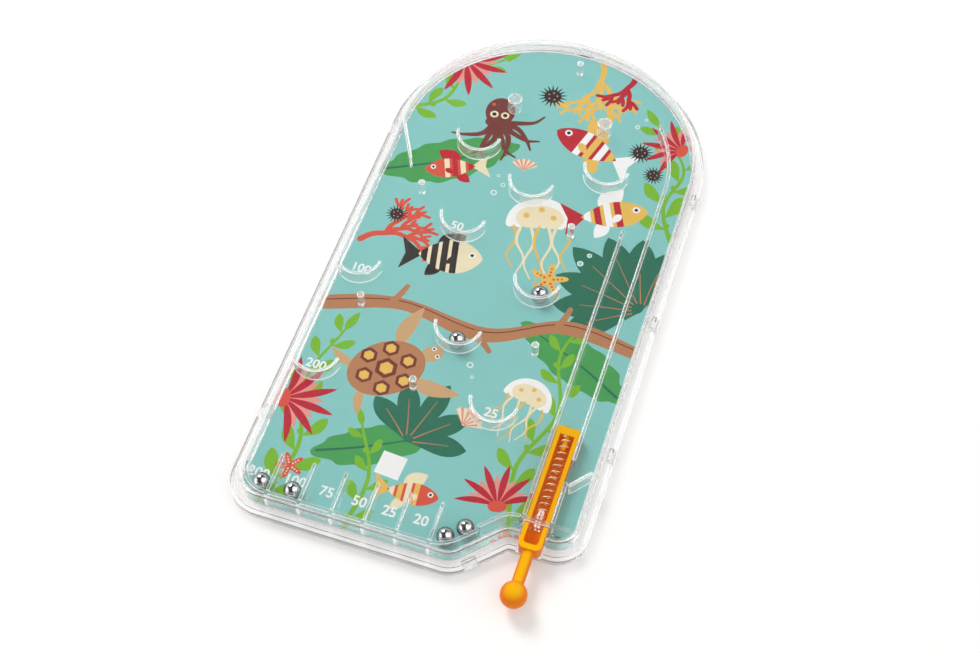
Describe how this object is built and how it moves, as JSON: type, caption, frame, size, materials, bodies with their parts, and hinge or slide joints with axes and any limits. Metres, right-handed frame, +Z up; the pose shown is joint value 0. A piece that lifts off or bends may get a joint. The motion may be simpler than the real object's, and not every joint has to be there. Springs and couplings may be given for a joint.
{
  "type": "tabletop pinball game",
  "caption": "Flat handheld pinball game in a clear snap-together case with an arched top, printed playfield card, sprung plunger, catch cups, scoring slots and loose steel balls.",
  "frame": {"origin": "on the table, at the middle of the case's flat underside", "axes": "+X to the player's right, +Y along the case towards its arched top, +Z up out of the playfield"},
  "size_m": [0.164, 0.3191, 0.0139],
  "materials": {
    "clear_cover": "clear polished moulded plastic",
    "clear_plastic": "clear polished moulded plastic",
    "clear_tray": "clear moulded plastic",
    "printed_card": "satin printed board",
    "plunger": "glossy opaque moulded plastic",
    "spring_wire": "drawn steel wire",
    "ball_steel": "polished steel"
  },
  "bodies": {
    "case": {"base_tray": "clear_tray", "printed_card": "printed_card", "top_cover": "clear_cover", "cup_1": "clear_plastic", "cup_2": "clear_plastic", "cup_3": "clear_plastic", "cup_4": "clear_plastic", "cup_5": "clear_plastic", "cup_6": "clear_plastic", "cup_7": "clear_plastic", "wall_cup_1": "clear_plastic", "wall_cup_2": "clear_plastic", "pin_1": "clear_plastic", "pin_2": "clear_plastic", "pin_3": "clear_plastic", "pin_4": "clear_plastic", "pin_5": "clear_plastic", "pin_6": "clear_plastic", "ring_post_1": "clear_plastic", "ring_post_2": "clear_plastic", "slot_divider_1": "clear_plastic", "slot_divider_2": "clear_plastic", "slot_divider_3": "clear_plastic", "slot_divider_4": "clear_plastic", "slot_divider_5": "clear_plastic", "slot_divider_6": "clear_plastic", "bottom_wall": "clear_plastic", "return_ramp": "clear_plastic", "lane_rail_left": "clear_plastic", "lane_rail_right": "clear_plastic", "gate_rail": "clear_plastic", "feed_bar": "clear_plastic", "deflector_bar": "clear_plastic", "end_wall": "clear_plastic", "plunger_spring": "spring_wire"},
    "plunger": {"plunger": "plunger"},
    "steel_ball_1": {"steel_ball_1": "ball_steel"},
    "steel_ball_2": {"steel_ball_2": "ball_steel"},
    "steel_ball_3": {"steel_ball_3": "ball_steel"},
    "steel_ball_4": {"steel_ball_4": "ball_steel"},
    "steel_ball_5": {"steel_ball_5": "ball_steel"},
    "steel_ball_6": {"steel_ball_6": "ball_steel"}
  },
  "joints": [
    {"name": "plunger_pull", "type": "slide", "parent": "case", "child": "plunger", "axis": [0, -1, 0], "range_m": [0, 0.03], "stiffness_N_per_m": 60, "springref_m": -0.008, "deforming": ["plunger_spring"]},
    {"name": "steel_ball_1_roll", "type": "slide", "parent": "case", "child": "steel_ball_1", "axis": [0, 1, 0], "range_m": [0, 0.034]},
    {"name": "steel_ball_2_roll", "type": "slide", "parent": "case", "child": "steel_ball_2", "axis": [0, 1, 0], "range_m": [0, 0.083]},
    {"name": "steel_ball_3_roll", "type": "slide", "parent": "case", "child": "steel_ball_3", "axis": [0, 1, 0], "range_m": [0, 0.053]},
    {"name": "steel_ball_4_roll", "type": "slide", "parent": "case", "child": "steel_ball_4", "axis": [0, 1, 0], "range_m": [0, 0.065]},
    {"name": "steel_ball_5_roll", "type": "slide", "parent": "case", "child": "steel_ball_5", "axis": [0, 1, 0], "range_m": [0, 0.0024]},
    {"name": "steel_ball_6_roll", "type": "slide", "parent": "case", "child": "steel_ball_6", "axis": [0, 1, 0], "range_m": [0, 0.048]}
  ]
}
